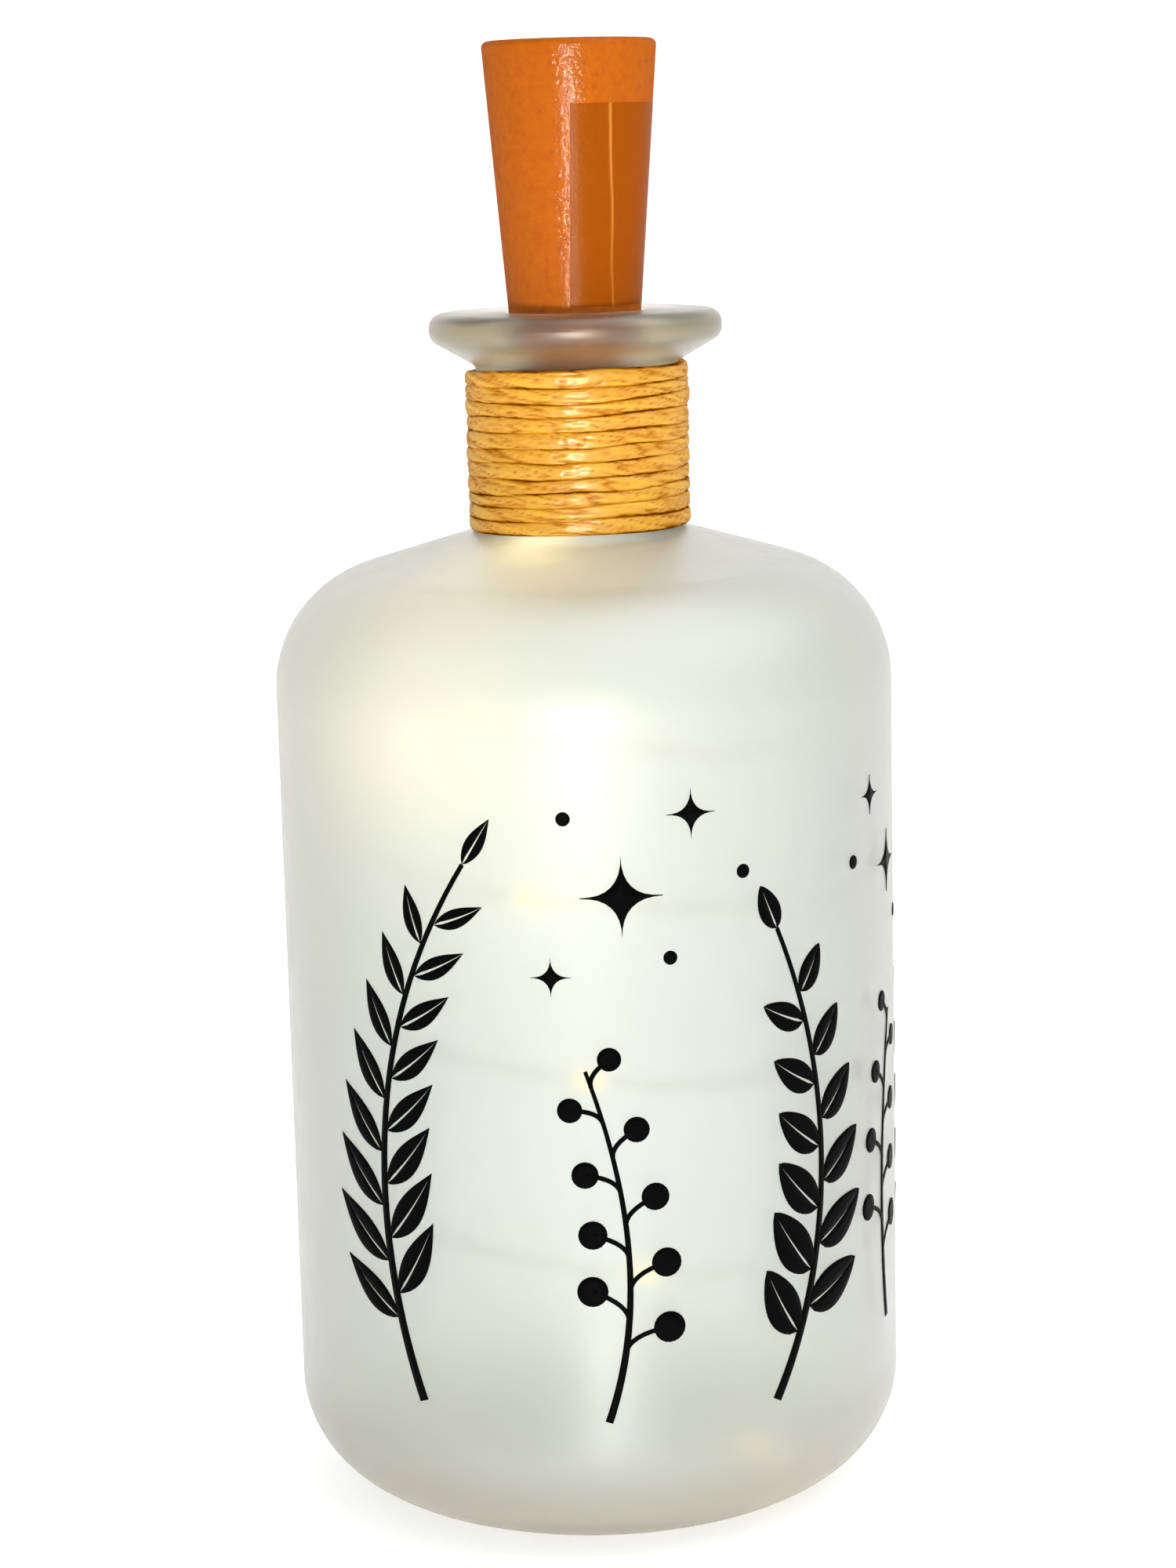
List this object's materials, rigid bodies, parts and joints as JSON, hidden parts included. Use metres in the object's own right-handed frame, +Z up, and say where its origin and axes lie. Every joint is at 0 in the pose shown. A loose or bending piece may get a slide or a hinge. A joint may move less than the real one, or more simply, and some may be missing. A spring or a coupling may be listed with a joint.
{
  "type": "cork bottle light",
  "caption": "Frosted glass bottle with a twine-wound neck, lit from inside by an LED string that hangs from a cork-shaped battery stopper with a slide switch.",
  "frame": {"origin": "centre of the base, on the surface that the bottle stands on", "axes": "+Z up along the axis of the bottle, -Y towards the viewer, the switch slides along X"},
  "size_m": [0.082, 0.082, 0.1927],
  "materials": {
    "frosted_glass": "frosted, satin",
    "paper_twine": "twisted, creased",
    "cork_plastic": "fine moulded grain",
    "white_plastic": "moulded",
    "cell_steel": "nickel plated",
    "gasket_nylon": "plain",
    "contact_metal": "nickel plated",
    "spring_steel": "bright",
    "board_laminate": "solder mask",
    "resistor_black": "plain",
    "switch_metal": "tin plated",
    "slider_black": "moulded",
    "lead_red": "insulated",
    "lead_black": "insulated",
    "grommet_rubber": "soft, pale",
    "copper_wire": "varnished copper",
    "led_resin": "clear drop",
    "led_chip": "phosphor"
  },
  "bodies": {
    "bottle": {"bottle": "frosted_glass", "neck_twine": "paper_twine", "string_coil": "copper_wire", "led_drops": "led_resin", "led_chips": "led_chip", "end_drop": "led_resin"},
    "core": {"battery_carrier": "white_plastic", "lower_cell": "cell_steel", "middle_cell": "cell_steel", "upper_cell": "cell_steel", "cell_gaskets": "gasket_nylon", "cell_caps": "cell_steel", "positive_contact": "contact_metal", "negative_contact": "contact_metal", "negative_spring": "spring_steel", "circuit_board": "board_laminate", "chip_resistor": "resistor_black", "switch_case": "switch_metal", "positive_lead": "lead_red", "negative_lead": "lead_black", "wire_grommet": "grommet_rubber", "string_lead": "copper_wire", "lead_drop": "led_resin", "lead_chip": "led_chip"},
    "shell": {"cork_shell": "cork_plastic"},
    "slider": {"switch_slider": "slider_black"}
  },
  "joints": [
    {"name": "stopper_lift", "type": "slide", "parent": "bottle", "child": "core", "axis": [0, 0, 1], "range_m": [0, 0.03], "deforming": ["string_lead", "lead_drop", "lead_chip"]},
    {"name": "shell_pull", "type": "slide", "parent": "core", "child": "shell", "axis": [0, 0, 1], "range_m": [0, 0.052]},
    {"name": "switch_slide", "type": "slide", "parent": "core", "child": "slider", "axis": [1, 0, 0], "range_m": [-0.002, 0]}
  ]
}
